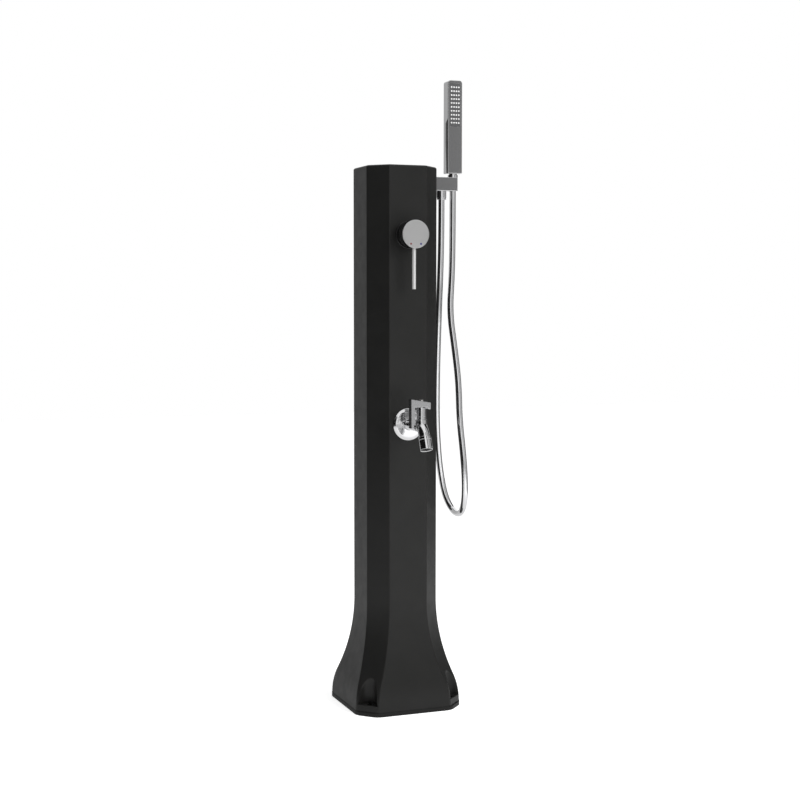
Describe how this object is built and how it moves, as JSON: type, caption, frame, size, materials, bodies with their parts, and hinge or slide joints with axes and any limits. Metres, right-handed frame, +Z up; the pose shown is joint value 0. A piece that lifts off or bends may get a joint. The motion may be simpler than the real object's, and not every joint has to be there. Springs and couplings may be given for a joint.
{
  "type": "outdoor shower post",
  "caption": "Dark octagonal outdoor shower column on a flared foot, with a lever mixer, a foot tap and a stick hand shower on a free-hanging hose.",
  "frame": {"origin": "middle of the foot plate's underside, on the floor", "axes": "+Z up along the column, the mixer and the foot tap on the -Y side, the hand shower on the +X side"},
  "size_m": [0.2786, 0.3185, 1.374],
  "materials": {
    "column": "dark grey moulded plastic, fine satin",
    "gasket": "black rubber",
    "screws": "stainless steel",
    "brass": "plain machined brass",
    "pipes": "stainless pipe",
    "chrome": "bright chrome plating",
    "satin_chrome": "satin chrome",
    "hose": "smooth metallised hose",
    "black_plastic": "black plastic",
    "grey_plastic": "dark grey plastic",
    "silicone": "white silicone",
    "seals": "black rubber seals",
    "ceramic": "off-white ceramic",
    "red_mark": "red dot",
    "blue_mark": "blue dot"
  },
  "bodies": {
    "root": {"column_shell": "column", "foot_plate": "column", "foot_gasket": "gasket", "foot_screws": "screws", "inlet_nipple": "brass", "inlet_seal": "seals", "inlet_nut": "brass", "inlet_tee": "brass", "cold_pipe": "pipes", "hot_pipe": "pipes", "shower_pipe": "pipes", "mixer_body": "brass", "mixer_seal": "seals", "mixer_sleeve": "black_plastic", "cartridge_housing": "black_plastic", "cartridge_nut": "brass", "fixed_disc": "ceramic", "tap_body": "chrome", "tap_rosette": "chrome", "tap_seal": "seals", "tap_nut": "brass", "tap_seat": "ceramic", "tap_bonnet": "chrome", "spout_sleeve": "chrome", "tap_aerator": "grey_plastic", "outlet_nipple": "brass", "outlet_seal": "seals", "outlet_nut": "brass", "holder_block": "chrome", "hose_connector": "brass", "hose_nut": "chrome", "hose_washer": "seals", "shower_hose": "hose"},
    "mixer_turn": {"cartridge_carrier": "black_plastic", "pivot_pin": "screws"},
    "mixer_lift": {"lever_stem": "brass", "mixer_cap": "satin_chrome", "lever_rod": "chrome", "cap_screw": "screws", "hot_mark": "red_mark", "cold_mark": "blue_mark"},
    "mixer_disc": {"moving_disc": "ceramic"},
    "tap_lever": {"tap_spindle": "brass", "tap_disc": "ceramic", "tap_handle": "chrome", "tap_handle_screw": "screws"},
    "hose_end": {"hose_swivel": "brass"},
    "handset": {"cone_nut": "chrome", "cone_washer": "seals", "handset_connector": "brass", "handset_tube": "black_plastic", "handset_shell": "chrome", "handset_cover": "chrome", "handset_inlay": "black_plastic", "spray_plate": "grey_plastic", "nozzle_mat": "silicone", "spray_chamber": "black_plastic"}
  },
  "joints": [
    {"name": "mixer_temperature", "type": "hinge", "parent": "root", "child": "mixer_turn", "pos_m": [0, -0.086, 1.031], "axis": [0, -1, 0], "range_deg": [-45, 45]},
    {"name": "mixer_flow", "type": "hinge", "parent": "mixer_turn", "child": "mixer_lift", "pos_m": [0, -0.086, 1.031], "axis": [-1, 0, 0], "range_deg": [0, 16]},
    {"name": "disc_shift", "type": "slide", "parent": "mixer_turn", "child": "mixer_disc", "axis": [0, 0, -1], "range_m": [0, 0.0053]},
    {"name": "tap_handle", "type": "hinge", "parent": "root", "child": "tap_lever", "pos_m": [0, -0.156, 0.625], "axis": [0, 0, 1], "range_deg": [0, 90]},
    {"name": "handset_lift", "type": "slide", "parent": "root", "child": "hose_end", "axis": [0, 0, 1], "range_m": [0, 0.035]},
    {"name": "handset_turn", "type": "hinge", "parent": "hose_end", "child": "handset", "pos_m": [0.137, 0, 1.15], "axis": [0, 0, 1], "continuous": true}
  ],
  "couplings": [
    {"joint": "disc_shift", "follows": "mixer_flow", "m_per_rad": 0.01897}
  ]
}
